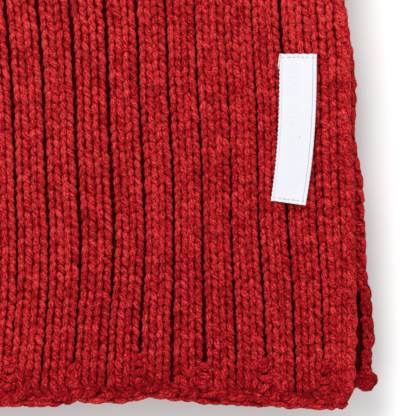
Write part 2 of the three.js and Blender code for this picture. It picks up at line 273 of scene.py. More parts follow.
def inset_x(u, v, inset=CORE_INSET):
    """The X of a hidden layer, which is a little narrower than the top one."""
    return cloth_x(u, v) - inset * (1 - 2 * u / WIDTH)


def upper_hidden_sheet(u, v):
    """The third layer from the top: flat up to LOWER_Y, then half a circle down to the floor."""
    y = HEM_Y + v
    turn = np.clip((LOWER_Y - y) / LOWER_R, 0, math.pi)
    x = inset_x(u, v)
    out = stacked(0 * x, -np.sin(turn), np.cos(turn))
    return stacked(x, np.maximum(y, LOWER_Y), LOWER_R) + out * LOWER_R, out


def inner_sheet(u, v):
    """The turn from the second layer to the third: half a circle inside the outer fold."""
    turn = np.clip((v - FAR_V) / LAYER, 0, math.pi)
    x = inset_x(u, FAR_V, CORE_INSET / 2)
    out = stacked(0 * x, np.sin(turn), np.cos(turn))
    return stacked(x, FAR_Y, OUTER_R) + out * LAYER, out


def lower_hidden_sheet(u, v):
    """The lowest layer, which lies on the floor."""
    x = inset_x(u, v)
    return stacked(x, HEM_Y + v, LAYER), stacked(0 * x, 0, 1)


def add_mesh(name, points, groups, material, uv=None, **measures):
    """A piece from points in millimetres and groups of faces, each an array with one row of corner numbers a
    face. It can have its own UV map, a row for each corner, and named measures for each point."""
    mesh = bpy.data.meshes.new(name)
    sizes = np.concatenate([np.full(len(group), group.shape[1]) for group in groups])
    corners = np.concatenate([group.ravel() for group in groups])
    mesh.vertices.add(len(points))
    mesh.vertices.foreach_set("co", (np.asarray(points) * MM).astype(np.float32).ravel())
    mesh.loops.add(len(corners))
    mesh.loops.foreach_set("vertex_index", corners.astype(np.int32))
    mesh.polygons.add(len(sizes))
    mesh.polygons.foreach_set("loop_start", np.concatenate([[0], np.cumsum(sizes)[:-1]]).astype(np.int32))
    mesh.polygons.foreach_set("use_smooth", np.full(len(sizes), True))
    if uv is not None:
        layer = mesh.uv_layers.new(name="yarn")
        layer.data.foreach_set("uv", np.asarray(uv, np.float32).ravel())
    for measure, values in measures.items():
        layer = mesh.attributes.new(measure, "FLOAT", "POINT")
        layer.data.foreach_set("value", np.asarray(values, np.float32).ravel())
    mesh.update()
    mesh.validate()
    piece = bpy.data.objects.new(name, mesh)
    bpy.context.scene.collection.objects.link(piece)
    mesh.materials.append(material)
    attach(piece, "root")
    return piece


def tube_strands(name, centres, outs, half_width, half_height, profile, material, sides=7, tone=None):
    """Many short lengths of yarn in one mesh. Each is a row of rings around its centre line: a ring is an
    ellipse that stands across the line, with its height along the way out of the cloth, and its size follows
    the profile. All but one of a ring's faces look outwards; the last closes it underneath. centres and outs
    have the shape (strands, rings, 3)."""
    strands, rings = centres.shape[:2]
    along = np.gradient(centres, axis=1)
    along /= np.linalg.norm(along, axis=-1, keepdims=True)
    across = np.cross(along, outs)
    across /= np.linalg.norm(across, axis=-1, keepdims=True)
    up = np.cross(across, along)
    angles = np.radians(np.linspace(-38, 218, sides))
    wide = np.broadcast_to(half_width, (strands,))[:, None, None, None]
    high = np.broadcast_to(half_height, (strands,))[:, None, None, None]
    size = np.asarray(profile)[None, :, None, None]
    ring = across[:, :, None] * np.cos(angles)[None, None, :, None] * wide
    ring = ring + up[:, :, None] * np.sin(angles)[None, None, :, None] * high
    points = centres[:, :, None] + ring * size
    points = slope(points.reshape(-1, 3))
    # Painted shade: a per-point value that is lower on the sides and underside of each ring and at the thin ends of
    # each strand, where the yarn is coloured darker.
    crease = size[..., 0] ** 0.8 * np.clip((np.sin(angles) + 0.35) / 1.1, 0, 1)[None, None, :]
    crease = np.broadcast_to(crease, (strands, rings, sides)).ravel()

    first = np.arange(strands)[:, None, None] * rings * sides
    r = np.arange(rings - 1)[None, :, None] * sides
    s = np.arange(sides)[None, None, :]
    nxt = (s + 1) % sides
    quads = np.stack([first + r + s, first + r + sides + s, first + r + sides + nxt, first + r + nxt], -1)
    quads = quads.reshape(-1, 4)
    start = first[:, 0, 0][:, None] + np.arange(sides)[None, :]
    end = first[:, 0, 0][:, None] + (rings - 1) * sides + np.arange(sides)[None, ::-1]

    reach = np.linalg.norm(np.diff(centres, axis=1), axis=-1)
    length = np.concatenate([np.zeros((strands, 1)), np.cumsum(reach, axis=1)], axis=1)
    turn = np.append(angles, angles[0] + 2 * math.pi) / (2 * math.pi)
    low, high_uv = length[:, :-1, None], length[:, 1:, None]
    left, right = turn[None, None, :-1], turn[None, None, 1:]
    corners = [(left, low), (left, high_uv), (right, high_uv), (right, low)]
    uv = np.stack([stacked(a, b, 0)[..., :2] for a, b in corners], axis=-2).reshape(-1, 2)
    uv = np.concatenate([uv, np.zeros((2 * strands * sides, 2))])
    tones = np.repeat(np.broadcast_to(0.5 if tone is None else tone, (strands,)), rings * sides)
    return add_mesh(name, points, [quads, start, end], material, uv, tone=tones, crease=crease)


def leg_lines(u, v, heading, side, size, rings, spread):
    """Centre lines of stitch legs, in u, v and lift over the crowns. A leg runs along its heading. It starts
    narrow on top of the leg before it, close to its stitch's middle line, leans out by spread, and sinks under
    the next leg over its last two thirds."""
    t = np.linspace(0, 1, rings)[None, :]
    main = size[:, None] * (t - 0.5)
    out = side[:, None] * spread[:, None] * (ease(t / 0.66) - 0.58 - 0.3 * ease((t - 0.66) / 0.34))
    lift = -0.45 * np.clip((0.16 - t) / 0.16, 0, 1) ** 2 - 2.9 * np.clip((t - 0.26) / 0.74, 0, 1) ** 1.35
    cos, sin = np.cos(heading)[:, None], np.sin(heading)[:, None]
    return u[:, None] + main * cos - out * sin, v[:, None] + main * sin + out * cos, lift + 0 * main


# How thick a leg is along its length, as a share of its half width, for each number of rings
LEG_PROFILE = {
    8: [0.38, 0.80, 1.0, 1.04, 0.98, 0.84, 0.66, 0.42],
    6: [0.40, 0.88, 1.04, 0.98, 0.78, 0.45],
    5: [0.42, 0.95, 1.02, 0.82, 0.46],
}
STRAND_PROFILE = [0.6, 0.92, 1.0, 1.0, 1.0, 0.92, 0.6]
FIBRE_PROFILE = [0.6, 1.0, 1.0, 1.0, 0.6]


def yarn_material(name, shades, settings):
    """Plied yarn: plies wind round each strand, and painted shade darkens their creases. Fibres roughen them.
    The shades are the colours of its creases, its middle and its crowns; the ramp between them carries the yarn's
    own varying red together with painted shade and a painted highlight."""
    material = bpy.data.materials.new(name)
    material.use_nodes = True
    nodes, links = material.node_tree.nodes, material.node_tree.links
    nodes.clear()

    def node(kind, **values):
        made = nodes.new(kind)
        for key, value in values.items():
            setattr(made, key, value)
        return made

    def math_node(operation, a, b=0.0):
        made = node("ShaderNodeMath", operation=operation)
        for socket, value in zip(made.inputs, (a, b)):
            if isinstance(value, (int, float)):
                socket.default_value = value
            else:
                links.new(value, socket)
        return made.outputs[0]

    shader = node("ShaderNodeBsdfPrincipled")
    output = node("ShaderNodeOutputMaterial")
    links.new(shader.outputs[0], output.inputs[0])
    uv = node("ShaderNodeUVMap", uv_map="yarn")
    parts = node("ShaderNodeSeparateXYZ")
    links.new(uv.outputs[0], parts.inputs[0])
    place = node("ShaderNodeTexCoord").outputs["Object"]
    tone = node("ShaderNodeAttribute", attribute_name="tone").outputs["Fac"]
    crease = node("ShaderNodeAttribute", attribute_name="crease").outputs["Fac"]

    wobble = node("ShaderNodeTexNoise")
    wobble.inputs["Scale"].default_value = 420
    wobble.inputs["Detail"].default_value = 2
    links.new(place, wobble.inputs["Vector"])
    turns = math_node("SUBTRACT", math_node("MULTIPLY", parts.outputs[1], 0.42), math_node("MULTIPLY", parts.outputs[0], 5))
    streak = node("ShaderNodeCombineXYZ")
    for socket, value in zip(streak.inputs, (math_node("MULTIPLY", turns, 3.1), parts.outputs[1], tone)):
        links.new(math_node("MULTIPLY", value, 1.0 if value is not tone else 37.0), socket)
    turns = math_node("ADD", turns, math_node("MULTIPLY", wobble.outputs["Fac"], 2.2))
    turns = math_node("ADD", turns, math_node("MULTIPLY", tone, 9))
    ply = math_node("ABSOLUTE", math_node("SINE", math_node("MULTIPLY", turns, math.pi)))

    fibre = node("ShaderNodeTexNoise")
    fibre.inputs["Scale"].default_value = 1500
    fibre.inputs["Detail"].default_value = 4
    fibre.inputs["Roughness"].default_value = 0.7
    links.new(place, fibre.inputs["Vector"])

    strands = node("ShaderNodeTexNoise")
    strands.inputs["Scale"].default_value = 1.0
    strands.inputs["Detail"].default_value = 3
    strands.inputs["Roughness"].default_value = 0.6
    links.new(streak.outputs[0], strands.inputs["Vector"])

    patch = node("ShaderNodeTexNoise")
    patch.inputs["Scale"].default_value = 210
    patch.inputs["Detail"].default_value = 2
    links.new(place, patch.inputs["Vector"])

    # Brightness that picks the colour from the ramp: painted shade in the ply creases and on the sides and ends of
    # each strand, painted light and shade in the tone, and random tone from the fibres, strands and patches.
    light = math_node("MULTIPLY", math_node("SUBTRACT", ply, 0.6), 0.3)
    light = math_node("ADD", light, math_node("MULTIPLY", math_node("SUBTRACT", fibre.outputs["Fac"], 0.5), 2.1))
    light = math_node("ADD", light, math_node("MULTIPLY", math_node("SUBTRACT", strands.outputs["Fac"], 0.5), 1.5))
    light = math_node("ADD", light, math_node("MULTIPLY", math_node("SUBTRACT", tone, 0.5), 0.35))
    light = math_node("ADD", light, math_node("MULTIPLY", math_node("SUBTRACT", patch.outputs["Fac"], 0.5), 0.5))
    # Painted shade on the sides and thin ends of each strand, from the per-point value made in tube_strands.
    light = math_node("ADD", light, math_node("MULTIPLY", math_node("SUBTRACT", crease, 0.9), 0.42))
    light = math_node("ADD", light, 0.5)

    ramp = node("ShaderNodeValToRGB")
    ramp.color_ramp.elements[0].position = 0.1
    ramp.color_ramp.elements[0].color = (*shades[0], 1)
    ramp.color_ramp.elements[1].position = 0.95
    ramp.color_ramp.elements[1].color = (*shades[2], 1)
    middle = ramp.color_ramp.elements.new(0.5)
    middle.color = (*shades[1], 1)
    links.new(light, ramp.inputs[0])
    links.new(ramp.outputs[0], shader.inputs["Base Color"])

    rough = node("ShaderNodeBump")
    rough.inputs["Strength"].default_value = 0.65
    rough.inputs["Distance"].default_value = 0.25 * MM
    links.new(fibre.outputs["Fac"], rough.inputs["Height"])
    plies = node("ShaderNodeBump")
    plies.inputs["Strength"].default_value = 0.5
    plies.inputs["Distance"].default_value = 0.35 * MM
    links.new(ply, plies.inputs["Height"])
    links.new(rough.outputs[0], plies.inputs["Normal"])
    links.new(plies.outputs[0], shader.inputs["Normal"])

    shader.inputs["Roughness"].default_value = settings.roughness
    shader.inputs["Specular IOR Level"].default_value = 0.05
    shader.inputs["Sheen Weight"].default_value = settings.sheen
    shader.inputs["Sheen Roughness"].default_value = 0.45
    shader.inputs["Sheen Tint"].default_value = (1.0, 0.42, 0.38, 1)
    return material


def ground_material(settings):
    """The cloth between and behind the stitches: dark red with painted shade, nearly black deep in the grooves
    where the painted shade is deepest, with the rows of purl stitches as faint bands."""
    material = bpy.data.materials.new("knit_ground")
    material.use_nodes = True
    nodes, links = material.node_tree.nodes, material.node_tree.links
    shader = nodes["Principled BSDF"]
    place = nodes.new("ShaderNodeTexCoord").outputs["Object"]
    wave = nodes.new("ShaderNodeTexWave")
    wave.bands_direction = "Y"
    wave.inputs["Scale"].default_value = 2 * math.pi / 20 / (ROW * MM)
    wave.inputs["Distortion"].default_value = 1.5
    wave.inputs["Detail"].default_value = 2
    wave.inputs["Detail Scale"].default_value = 2
    links.new(place, wave.inputs["Vector"])
    # Painted shade: from a quarter of the yarn's shade colour deep in the grooves to a little more than it on the
    # ribs, picked by the per-point depth value.
    ramp = nodes.new("ShaderNodeValToRGB")
    ramp.color_ramp.elements[0].color = (*(0.25 * c for c in settings.shade), 1)
    ramp.color_ramp.elements[1].color = (*(1.2 * c for c in settings.shade), 1)
    rib = nodes.new("ShaderNodeAttribute")
    rib.attribute_name = "rib"
    mixed = nodes.new("ShaderNodeMath")
    mixed.operation = "MULTIPLY_ADD"
    mixed.inputs[1].default_value = 0.35
    links.new(wave.outputs["Fac"], mixed.inputs[0])
    links.new(rib.outputs["Fac"], mixed.inputs[2])
    links.new(mixed.outputs[0], ramp.inputs[0])
    links.new(ramp.outputs[0], shader.inputs["Base Color"])
    bump = nodes.new("ShaderNodeBump")
    bump.inputs["Strength"].default_value = 0.8
    bump.inputs["Distance"].default_value = 0.8 * MM
    links.new(wave.outputs["Fac"], bump.inputs["Height"])
    links.new(bump.outputs[0], shader.inputs["Normal"])
    shader.inputs["Roughness"].default_value = 0.95
    shader.inputs["Specular IOR Level"].default_value = 0.1
    return material


def tape_material(settings):
    """Woven tape: fine crossing threads, and a thin line along each side."""
    material = bpy.data.materials.new("label_tape")
    material.use_nodes = True
    nodes, links = material.node_tree.nodes, material.node_tree.links
    shader = nodes["Principled BSDF"]
    uv = nodes.new("ShaderNodeUVMap")
    uv.uv_map = "yarn"
    stretch = nodes.new("ShaderNodeMapping")
    stretch.inputs["Scale"].default_value = (LABEL["width"], LABEL["length"], 1)
    links.new(uv.outputs[0], stretch.inputs["Vector"])
    bump_from = None
    for direction, scale in (("X", 1.1), ("Y", 1.4)):
        threads = nodes.new("ShaderNodeTexWave")
        threads.bands_direction = direction
        threads.inputs["Scale"].default_value = scale
        threads.inputs["Distortion"].default_value = 0.6
        links.new(stretch.outputs[0], threads.inputs["Vector"])
        bump = nodes.new("ShaderNodeBump")
        bump.inputs["Strength"].default_value = 0.35
        bump.inputs["Distance"].default_value = 0.08 * MM
        links.new(threads.outputs["Fac"], bump.inputs["Height"])
        if bump_from is not None:
            links.new(bump_from, bump.inputs["Normal"])
        bump_from = bump.outputs[0]
    links.new(bump_from, shader.inputs["Normal"])
    parts = nodes.new("ShaderNodeSeparateXYZ")
    links.new(uv.outputs[0], parts.inputs[0])
    ramp = nodes.new("ShaderNodeValToRGB")
    ramp.color_ramp.interpolation = "LINEAR"
    rows = [(0.0, 0), (0.055, 0), (0.07, 0.6), (0.085, 0), (0.882, 0), (0.9, 1), (0.918, 0)]
    ramp.color_ramp.elements.remove(ramp.color_ramp.elements[1])
    for i, (at, amount) in enumerate(rows):
        element = ramp.color_ramp.elements[0] if i == 0 else ramp.color_ramp.elements.new(at)
        element.position = at
        mixed = [a + (b - a) * amount for a, b in zip(settings.white, settings.line)]
        element.color = (*mixed, 1)
    links.new(parts.outputs[0], ramp.inputs[0])
    threads = nodes.new("ShaderNodeTexNoise")
    threads.inputs["Scale"].default_value = 1.2
    threads.inputs["Detail"].default_value = 3
    links.new(stretch.outputs[0], threads.inputs["Vector"])
    value = nodes.new("ShaderNodeMath")
    value.operation = "MULTIPLY_ADD"
    value.inputs[1].default_value = 0.2
    value.inputs[2].default_value = 0.89
    links.new(threads.outputs["Fac"], value.inputs[0])
    shaded = nodes.new("ShaderNodeHueSaturation")
    links.new(value.outputs[0], shaded.inputs["Value"])
    links.new(ramp.outputs[0], shaded.inputs["Color"])
    links.new(shaded.outputs[0], shader.inputs["Base Color"])
    shader.inputs["Roughness"].default_value = 0.6
    shader.inputs["Specular IOR Level"].default_value = 0.3
    return material


class ScarfYarn(bpy.types.PropertyGroup):
    """Colours and finish of the yarn"""

    # The light and shade colours are partly the yarn's own varying red, partly a painted highlight on the ply crowns
    # and painted shade in their creases.
    light: FloatVectorProperty(
        name="Light", description="Crowns of the plies", subtype="COLOR", size=3, default=(0.77, 0.063, 0.062)
    )
    middle: FloatVectorProperty(
        name="Middle", description="The yarn's own red", subtype="COLOR", size=3, default=(0.44, 0.0045, 0.012)
    )
    shade: FloatVectorProperty(
        name="Shade", description="Creases between the plies", subtype="COLOR", size=3, default=(0.15, 0.0008, 0.003)
    )
    roughness: FloatProperty(name="Roughness", description="Roughness of the fibres", default=0.85, min=0, max=1)
    sheen: FloatProperty(name="Sheen", description="Fuzz on the yarn", default=0.035, min=0, max=1)


class ScarfLabel(bpy.types.PropertyGroup):
    """Colours of the label"""

    white: FloatVectorProperty(
        name="White", description="Woven tape", subtype="COLOR", size=3, default=(0.71, 0.72, 0.765)
    )
    line: FloatVectorProperty(
        name="Line", description="Lines woven along its sides", subtype="COLOR", size=3, default=(0.38, 0.39, 0.45)
    )
    thread: FloatVectorProperty(
        name="Thread", description="Sewing thread", subtype="COLOR", size=3, default=(0.84, 0.81, 0.75)
    )


class ScarfStudio(bpy.types.PropertyGroup):
    """Camera and lights"""

    view_width: FloatProperty(name="View width", description="Width of the view", unit="LENGTH", default=0.1664)
    distance: FloatProperty(name="Distance", description="Camera to cloth", unit="LENGTH", default=1.25)
    centre: FloatVectorProperty(
        name="Centre", description="Middle of the view", subtype="XYZ", size=2, default=(0.0604, -0.1462)
    )


def shell_faces(rings, count, upper):
    """Quads between rings of a closed section, and triangles that close both ends. Of a ring's points the first
    are its upper row and the rest its lower row, which runs back; each end joins every point of the upper row
    to the one at the same share of the lower row."""
    r = np.arange(rings - 1)[:, None] * count
    i = np.arange(count)[None, :]
    nxt = (i + 1) % count
    quads = np.stack([r + i, r + count + i, r + count + nxt, r + nxt], -1).reshape(-1, 4)
    top, bottom = np.arange(upper), np.arange(count - 1, upper - 1, -1)
    share = np.rint(np.linspace(0, len(bottom) - 1, upper)).astype(int)
    step = np.flatnonzero(np.diff(share))
    above = np.stack([top[:-1], top[1:], bottom[share[1:]]], -1)
    below = np.stack([top[step], bottom[share[step + 1]], bottom[share[step]]], -1)
    near = np.concatenate([above, below])
    return [quads, near, near[:, ::-1] + (rings - 1) * count]


def across_profile():
    """Points across a ribbed wall: (u, how far it lies below the crowns)."""
    rows = [(0.9, 2.8), (1.6, 2.2), (EDGE_STITCH * 0.62, 2.1), (EDGE_STITCH * 0.88, 3.2)]
    for low, high in zip(GROOVES[:-1], GROOVES[1:]):
        for at, drop in [(0, 5.2), (0.06, 4.4), (0.14, 3.2), (0.3, 2.1), (0.5, 2.0), (0.7, 2.1), (0.86, 3.2), (0.94, 4.4)]:
            rows.append((low + at * (high - low), drop))
    rows += [(GROOVES[-1], 5.2), (WIDTH - EDGE_STITCH * 0.62, 2.1), (WIDTH - 1.6, 2.2), (WIDTH - 0.9, 2.8)]
    return np.array(rows).T


def ribbed_wall(name, sheet, stations, material, thickness, ribbed=1.0, painted_light_share=0.65):
    """One stretch of cloth as a closed wall: ribs on its upper points, and a plain side below. Each section is
    a ring across the cloth, and the stations are its distances from the free end."""
    u, drop = across_profile()
    under = np.linspace(1.6, WIDTH - 1.6, 24)
    v = np.asarray(stations, float)[:, None]
    open_rib = np.interp(v, [7, 18], [0.35, 1.0]) if ribbed == "hem" else np.ones_like(v)
    points, out = sheet(u[None, :], v)
    upper = points - out * (drop * open_rib + 1.7 * (1 - open_rib))[..., None]
    points, out = sheet(under[None, ::-1], v)
    lower = points - out * thickness
    edge, edge_out = sheet(np.array([WIDTH - 0.9, 0.9])[None, :], v)
    sides = edge - edge_out * (thickness * 0.66)
    ring = np.concatenate([upper, sides[:, :1], lower, sides[:, 1:]], axis=1)
    # Painted shade by depth: the ribbed points get a value that falls to nought deep in the grooves, scaled by the
    # painted light share; the ground colour is darker where it is low.
    height = np.full(ring.shape[1], 0.5)
    height[:len(drop)] = painted_light_share * ease((5.0 - drop) / 2.6)
    rib = np.broadcast_to(height, ring.shape[:2]).ravel()
    return add_mesh(name, slope(ring.reshape(-1, 3)), shell_faces(*ring.shape[:2], len(drop)), material, rib=rib)


def rib_columns():
    """The four columns of legs on each rib: u, the side of its stitch that the leg is on, how far it leans out,
    drop below the crowns, and tilt towards +X in radians."""
    columns = []
    for low, high in zip(GROOVES[:-1], GROOVES[1:]):
        middle, pitch = (low + high) / 2, high - low
        for stitch in (-1, 1):
            for leg in (-1, 1):
                outer = stitch == leg
                share = stitch * (0.331 if outer else 0.115)
                tilt = -stitch * (OUTER_TILT if outer else 0.05)
                columns.append((middle + share * pitch, leg, 0.65 if leg > 0 else 1.15, 0.6 if outer else 0.0, tilt))
    return np.array(columns)


def leaning(out, lean, towards):
    """Directions turned by lean radians from out towards another direction."""
    lean = np.broadcast_to(lean, out.shape[:-1])[..., None]
    return out * np.cos(lean) + np.asarray(towards, float) * np.sin(lean)


def stitch_field(name, columns, rows, sheet, material, rings, sides, seed, near_end=False):
    """Legs at every row of every column, each a little off its place, size and tone. Those close to a free end
    are larger, and painted shade makes them darker."""
    rng = np.random.default_rng(seed)
    u, v = (a.ravel() for a in np.meshgrid(columns[:, 0], rows))
    leg, spread, drop, tilt = (np.tile(columns[:, i], len(rows)) for i in (1, 2, 3, 4))
    jitter = rng.normal(0, 1, (7, len(u))).clip(-2.2, 2.2)
    large = np.clip((17 - v) / 8, 0, 1) if near_end else 0 * v
    v = v + (1 - large) * (0.7 * np.sin(u / 9.3 + 1.3) + 0.5 * np.sin(u / 31 + v / 60)) + 0.3 * leg
    closed = bells(CLOSED, u, v)
    u = u + 0.12 * jitter[0] + 0.3 * np.sin(v / 13 + u / 17) - closed * tilt / OUTER_TILT
    v = v + 0.22 * jitter[1]
    size = LEG_LENGTH * (1 + 0.07 * jitter[2] + 0.22 * large)
    heading = np.full(len(u), -math.pi / 2) + 0.09 * jitter[3]
    spread = spread * (1 + 0.22 * jitter[6])
    line_u, line_v, lift = leg_lines(u, v, heading, leg, size, rings, spread)
    points, out = sheet(line_u, line_v)
    lift = lift + (0.2 - LEG_HALF_HEIGHT - drop + 0.16 * jitter[4])[:, None]
    points = points + out * lift[..., None]
    out = leaning(out, tilt[:, None], (1, 0, 0))
    # Random tone, plus painted light in the pale patches and painted shade on the larger stitches close to the free
    # end.
    tone = 0.36 + 0.16 * jitter[5] + bells(PAINTED_LIGHT_PATCHES, u, v) - 0.36 * large
    width = LEG_HALF_WIDTH * (1 + 0.06 * jitter[2] + 0.13 * large + WIDER * closed)
    return tube_strands(name, points, out, width, LEG_HALF_HEIGHT, LEG_PROFILE[rings], material, sides, tone)


def selvedge(name, sheet, rows, right, material, strands, seed, sides=6, breadth=1.0, tone=0.5):
    """The chain along a selvedge: at each row one link, of the named strands. Breadth widens it."""
    rng = np.random.default_rng(seed)
    centres, outs, widths, tones = [], [], [], []
    for strand in strands:
        table, half_width = LINK_STRANDS[strand]
        path = np.broadcast_to(np.array(table), (len(rows), len(table), 3)).copy()
        path[..., 0] *= breadth
        path[..., 1] *= 1 + 0.12 * rng.normal(0, 1, (len(rows), 1))
        path += rng.normal(0, 0.24, path.shape)
        path = curve(path, len(STRAND_PROFILE))
        u, v, lift = path[..., 0], path[..., 1] + np.asarray(rows)[:, None], path[..., 2]
        points, out = sheet(u if right else WIDTH - u, v)
        lean = 1.25 * ease((3.2 - u) / 2.6) * (0.5 if strand in ("arch", "inner") else 1.1)
        centres.append(points + out * lift[..., None])
        outs.append(leaning(out, lean, (1 if right else -1, 0, 0)))
        widths.append(np.full(len(rows), half_width) * (1 + 0.06 * rng.normal(0, 1, len(rows))))
        tones.append(tone + 0.15 * rng.normal(0, 1, len(rows)))
    width = np.concatenate(widths)
    centres, outs = np.concatenate(centres), np.concatenate(outs)
    return tube_strands(name, centres, outs, width, width * 0.95, STRAND_PROFILE, material, sides, np.concatenate(tones))


def free_end(name, sheet, material, seed, painted_light_tone, rings=6, sides=7):
    """The edge of a free end: rows of slanting loops along it, paler towards the edge, and purl bumps where
    every other groove runs out."""
    rng = np.random.default_rng(seed)
    centres, outs, widths, tones = [], [], [], []

    def add(u, v, lift, heading, length, half_width, lean, arch, tone, tuck=0.0):
        jitter = rng.normal(0, 1, (6, len(u))).clip(-2, 2)
        t = np.linspace(-0.5, 0.5, rings)[None, :]
        turn = (heading + (0.22 - 0.1 * tuck) * jitter[0])[:, None]
        size = (length * (1 + 0.14 * jitter[1]))[:, None]
        line_u = (u + 0.4 * jitter[2])[:, None] + t * size * np.cos(turn)
        line_v = (v + 0.3 * jitter[3])[:, None] + t * size * np.sin(turn) + tuck * (2 * t) ** 2
        points, out = sheet(line_u, line_v)
        rise = (lift + 0.3 * jitter[4])[:, None] - arch * (2 * t) ** 2
        centres.append(points + out * rise[..., None])
        outs.append(leaning(out, lean, (0, -1, 0)))
        widths.append(half_width * (1 + 0.14 * jitter[5]))
        tones.append(tone + 0.18 * jitter[1])

    for row, (v, lift, length, slant, half_width, lean, step, tuck) in enumerate(BAND_ROWS):
        u = np.arange(3.0 + 0.5 * step * (row % 2), WIDTH - 2.6, step)
        flat = np.ones(len(u))
        swell = 0.35 * np.sin(u / 5.7 + row) * (row < 2)
        # Each row's tone: the end's painted light tone, lower on the plain end under the top layer as painted shade,
        # and paler towards the edge.
        tone = painted_light_tone - 0.14 * v
        add(u, v * flat, lift + swell, slant * flat, length * flat, half_width + 0.3 * swell, lean, 1.3, tone, tuck)
    for v, length, lift, share in PURL_BUMPS:
        chosen = (rng.random(len(GROOVES)) < share) & (np.arange(len(GROOVES)) % 2 == 1)
        u = GROOVES[chosen] + rng.normal(0, 0.4, chosen.sum())
        flat = np.ones(len(u))
        add(u, v * flat, lift * flat, rng.normal(0, 0.3, len(u)), length * flat, 1.75 * flat, 0.0, 1.5, 0.05)
    width = np.concatenate(widths)
    centres, outs = np.concatenate(centres), np.concatenate(outs)
    return tube_strands(name, centres, outs, width, width * 0.9, LEG_PROFILE[rings], material, sides, np.concatenate(tones))


def stray_fibres(name, sheet, count, reach, material, seed):
    """Fine fibres that stand off the yarn up to a distance from the hem: each a short arc in a direction of its
    own, with both ends in the cloth and its middle turned a little aside."""
    rng = np.random.default_rng(seed)
    u = rng.uniform(3, WIDTH - 3, count)[:, None]
    v = rng.uniform(3, reach, count)[:, None]
    heading, length, turn, rise = (a[:, None] for a in (
        rng.uniform(0, 2 * math.pi, count), rng.uniform(2.5, 7, count), rng.normal(0, 1.1, count), rng.uniform(0.4, 1.1, count)
    ))
    t = np.linspace(-0.5, 0.5, len(FIBRE_PROFILE))[None, :]
    aside = turn * (1 - (2 * t) ** 2)
    line_u = u + t * length * np.cos(heading) - aside * np.sin(heading)
    line_v = v + t * length * np.sin(heading) + aside * np.cos(heading)
    points, out = sheet(line_u, line_v)
    points = points + out * (rise - (rise + 0.8) * (2 * t) ** 2)[..., None]
    return tube_strands(name, points, out, 0.06, 0.06, FIBRE_PROFILE, material, 3, rng.uniform(0.9, 1.4, count))


class SCARF_OT_layers(bpy.types.Operator):
    """Lay the four layers of cloth and their folds"""

    bl_idname = "scarf.layers"
    bl_label = "Layers and folds"

    def execute(self, context):
        ground = ground_material(context.scene.scarf_yarn)
        flat_rows = np.concatenate([[0.9, 3, 6, 10, 16, 24], np.linspace(34, FAR_V, 46)])
        top = ribbed_wall("labelled_cloth", top_sheet, flat_rows, ground, LAYER - 0.2, "hem")
        fold = ribbed_wall("outer_fold_cloth", top_sheet, np.linspace(FAR_V, FAR_V + math.pi * OUTER_R, 13), ground, 6.2)
        plain_rows = flat_rows[flat_rows < FAR_V - 5]
        # The plain end's cloth wall gets a low painted light share: painted shade where it lies under the top layer.
        plain = ribbed_wall("plain_cloth", plain_sheet, plain_rows, ground, LAYER - 0.2, "hem", 0.15)
        near_v = LOWER_Y - HEM_Y
        turn_rows = near_v - LOWER_R * np.linspace(math.pi, 0, 9)
        lower_turn = ribbed_wall("lower_fold_cloth", upper_hidden_sheet, turn_rows, ground, 5.6)
        hidden_rows = np.linspace(near_v, FAR_V, 30)
        third = ribbed_wall("third_layer_cloth", upper_hidden_sheet, hidden_rows, ground, LAYER - 0.2)
        lowest = ribbed_wall("lowest_layer_cloth", lower_hidden_sheet, hidden_rows, ground, LAYER)
        inner = self.inner_fold(ground)
        for piece, nodes in [
            (top, ["labelled_end"]), (fold, ["outer_fold"]), (plain, ["plain_end"]), (lower_turn, ["lower_fold"]),
            (third, ["folded_core"]), (lowest, ["folded_core"]), (inner, ["inner_fold"]),
        ]:
            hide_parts(*nodes)
        return {"FINISHED"}

    def inner_fold(self, material):
        """The turn from the second layer to the third: half a ring of cloth inside the outer fold."""
        v = FAR_V + LAYER * np.linspace(0, math.pi, 11)[:, None]
        u = np.linspace(1.2, WIDTH - 1.2, 60)[None, :]
        upper, _ = inner_sheet(u, v)
        lower, out = inner_sheet(u[:, ::-1], v)
        ring = np.concatenate([upper, lower - out * (LAYER - 0.7)], axis=1)
        faces = shell_faces(*ring.shape[:2], u.shape[1])
        return add_mesh("inner_fold_cloth", slope(ring.reshape(-1, 3)), faces, material)


class SCARF_OT_stitches(bpy.types.Operator):
    """Knit the legs of every rib"""

    bl_idname = "scarf.stitches"
    bl_label = "Rib stitches"

    def execute(self, context):
        settings = context.scene.scarf_yarn
        yarn = yarn_material("red_yarn", (settings.shade, settings.middle, settings.light), settings)
        columns = rib_columns()
        half = len(columns) // 2
        rows = np.arange(FIRST_ROW + 2.1 * ROW, FAR_V + math.pi * OUTER_R * 0.93, ROW)
        rows = np.concatenate([[FIRST_ROW, FIRST_ROW + 1.1 * ROW], rows])
        near, far = rows[rows < DETAIL_V], rows[rows >= DETAIL_V]
        jobs = [
            ("near_right_stitches", columns[:24], near, 8, 7, True),
            ("near_middle_stitches", columns[24:48], near, 8, 7, True),
            ("near_left_stitches", columns[48:], near, 5, 5, True),
            ("far_right_stitches", columns[:half], far, 5, 5, False),
            ("far_left_stitches", columns[half:], far, 5, 5, False),
        ]
        for seed, (name, some, at_rows, rings, sides, near_end) in enumerate(jobs):
            piece = stitch_field(name, some, at_rows, top_sheet, yarn, rings, sides, 11 + seed, near_end)
        stray_fibres("stray_fibres", top_sheet, 2400, 190, yarn, 23)
        peeping = np.arange(52, FAR_V, ROW)
        piece = stitch_field("plain_end_stitches", columns[:3], peeping, plain_sheet, yarn, 5, 5, 21)
        near_v = LOWER_Y - HEM_Y
        turning = np.arange(near_v - math.pi * LOWER_R * 0.95, near_v + 9, ROW)
        piece = stitch_field("lower_fold_stitches", columns, turning, upper_hidden_sheet, yarn, 5, 5, 22)
        return {"FINISHED"}


